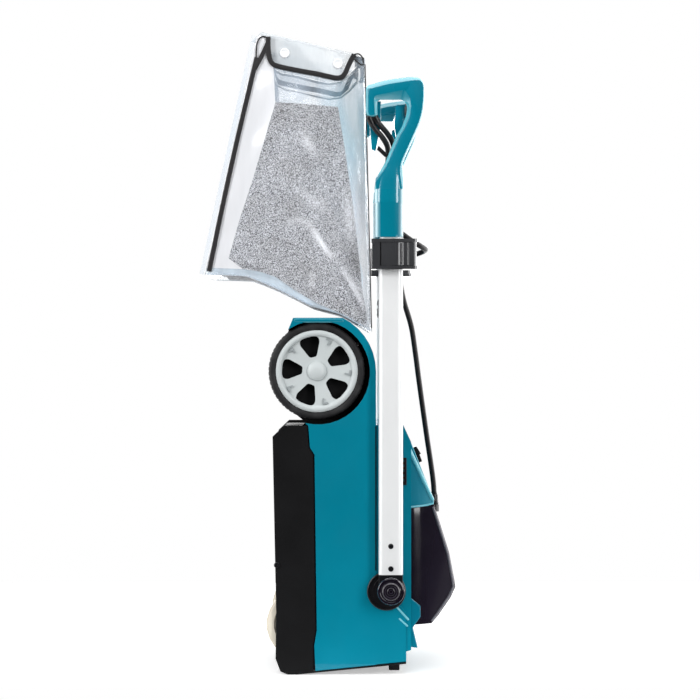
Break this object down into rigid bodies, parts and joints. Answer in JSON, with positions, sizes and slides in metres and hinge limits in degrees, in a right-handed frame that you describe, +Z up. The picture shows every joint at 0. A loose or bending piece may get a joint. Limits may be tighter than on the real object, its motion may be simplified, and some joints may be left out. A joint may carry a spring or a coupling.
{
  "type": "walk-behind electric lawn mower",
  "caption": "Compact corded walk-behind lawn mower stored upright on its nose, with folded telescopic handle and a mesh and clear-vinyl grass bag.",
  "frame": {"origin": "centre of the footprint on the floor, under the machine as it stands stored on its nose", "axes": "+Z up as stored, which is the machine's rear in use; +X away from the wheels and blade, which is up in use; +Y the machine's left side in use"},
  "size_m": [0.418, 0.464, 1.061],
  "materials": {
    "deck_teal": "semi-gloss moulded",
    "arm_teal": "satin moulded",
    "black": "fine textured",
    "black_gloss": "glossy",
    "rim_grey": "satin",
    "tyre": "ribbed",
    "tube": "silver powder coat",
    "steel": "zinc plated",
    "motor": "dark",
    "foam": "soft grip sleeve",
    "lead": "semi-gloss cable sheath",
    "bag": "coated mesh and translucent vinyl sheet",
    "wire": "coated wire"
  },
  "bodies": {
    "deck": {"deck_shell": "deck_teal", "lower_skirt": "black", "front_bridge": "black", "nose_foot_left": "black", "nose_foot_right": "black", "vent_grille_left": "deck_teal", "vent_grille_right": "deck_teal", "motor_cover": "black_gloss", "motor_cowl": "deck_teal", "cord_guide": "black", "lead_gland": "black", "motor_can": "motor", "bearing_lower": "steel", "bearing_upper": "steel", "rear_axle": "steel", "front_axle": "steel", "flap_rod": "steel", "pivot_base_left": "black", "pivot_base_right": "black", "pivot_bolt_left": "steel", "pivot_bolt_right": "steel"},
    "rotor": {"rotor_shaft": "steel", "armature": "motor", "cooling_fan": "black", "blade_boss": "steel", "blade": "steel", "blade_bolt": "steel"},
    "rear_wheel_left": {"rear_rim_left": "rim_grey", "rear_tyre_left": "tyre"},
    "rear_wheel_right": {"rear_rim_right": "rim_grey", "rear_tyre_right": "tyre"},
    "front_wheel_left": {"front_wheel_left": "black"},
    "front_wheel_right": {"front_wheel_right": "black"},
    "lower_handle": {"tube_eye_left": "black", "tube_eye_right": "black", "outer_tube_left": "tube", "outer_tube_right": "tube", "clamp_left": "black", "clamp_right": "black", "lead_lower": "lead"},
    "upper_handle": {"inner_tube_left": "tube", "inner_tube_right": "tube", "handle_arm_left": "arm_teal", "handle_arm_right": "arm_teal", "handle_grip": "foam", "switch_box": "black", "cord_hook": "black", "lead_upper": "lead", "lead_loop": "lead", "flying_lead": "lead", "flying_plug": "lead"},
    "clamp_lever_left": {"clamp_lever_left": "black"},
    "clamp_lever_right": {"clamp_lever_right": "black"},
    "pivot_knob_left": {"pivot_knob_left": "black_gloss"},
    "pivot_knob_right": {"pivot_knob_right": "black_gloss"},
    "switch_bail": {"switch_bail": "wire"},
    "lock_button": {"lock_button": "black_gloss"},
    "discharge_flap": {"discharge_flap": "black"},
    "grass_bag": {"bag_shell": "bag", "bag_frame": "wire"}
  },
  "joints": [
    {"name": "handle_fold", "type": "hinge", "parent": "deck", "child": "lower_handle", "pos_m": [0.098, 0, 0.141], "axis": [0, 1, 0], "range_deg": [0, 45], "deforming": ["lead_lower"]},
    {"name": "handle_extend", "type": "slide", "parent": "lower_handle", "child": "upper_handle", "axis": [0, 0, 1], "range_m": [0, 0.2], "deforming": ["lead_loop"]},
    {"name": "clamp_lever_left_open", "type": "hinge", "parent": "lower_handle", "child": "clamp_lever_left", "pos_m": [0.135, 0.226, 0.693], "axis": [0, 0, -1], "range_deg": [0, 100]},
    {"name": "clamp_lever_right_open", "type": "hinge", "parent": "lower_handle", "child": "clamp_lever_right", "pos_m": [0.135, -0.226, 0.693], "axis": [0, 0, 1], "range_deg": [0, 100]},
    {"name": "pivot_knob_left_turn", "type": "hinge", "parent": "deck", "child": "pivot_knob_left", "pos_m": [0.098, 0.22, 0.141], "axis": [0, 1, 0], "continuous": true},
    {"name": "pivot_knob_right_turn", "type": "hinge", "parent": "deck", "child": "pivot_knob_right", "pos_m": [0.098, -0.22, 0.141], "axis": [0, 1, 0], "continuous": true},
    {"name": "bail_squeeze", "type": "hinge", "parent": "upper_handle", "child": "switch_bail", "pos_m": [0.114, 0, 0.891], "axis": [0, 1, 0], "range_deg": [0, 12], "stiffness_Nm_per_rad": 2, "springref_deg": -5.73},
    {"name": "lock_button_press", "type": "slide", "parent": "upper_handle", "child": "lock_button", "axis": [0, 0, -1], "range_m": [0, 0.003], "stiffness_N_per_m": 400, "springref_m": -0.002},
    {"name": "rear_wheel_left_spin", "type": "hinge", "parent": "deck", "child": "rear_wheel_left", "pos_m": [-0.024, 0.1595, 0.501], "axis": [0, 1, 0], "continuous": true},
    {"name": "rear_wheel_right_spin", "type": "hinge", "parent": "deck", "child": "rear_wheel_right", "pos_m": [-0.024, -0.1595, 0.501], "axis": [0, 1, 0], "continuous": true},
    {"name": "front_wheel_left_spin", "type": "hinge", "parent": "deck", "child": "front_wheel_left", "pos_m": [-0.05, 0.159, 0.082], "axis": [0, 1, 0], "continuous": true},
    {"name": "front_wheel_right_spin", "type": "hinge", "parent": "deck", "child": "front_wheel_right", "pos_m": [-0.05, -0.159, 0.082], "axis": [0, 1, 0], "continuous": true},
    {"name": "blade_spin", "type": "hinge", "parent": "deck", "child": "rotor", "pos_m": [0, 0, 0.201], "axis": [1, 0, 0], "continuous": true},
    {"name": "flap_open", "type": "hinge", "parent": "deck", "child": "discharge_flap", "pos_m": [0.043, 0, 0.546], "axis": [0, 1, 0], "range_deg": [0, 25]},
    {"name": "bag_lift", "type": "slide", "parent": "deck", "child": "grass_bag", "axis": [0, 0, 1], "range_m": [0, 0.06]}
  ]
}
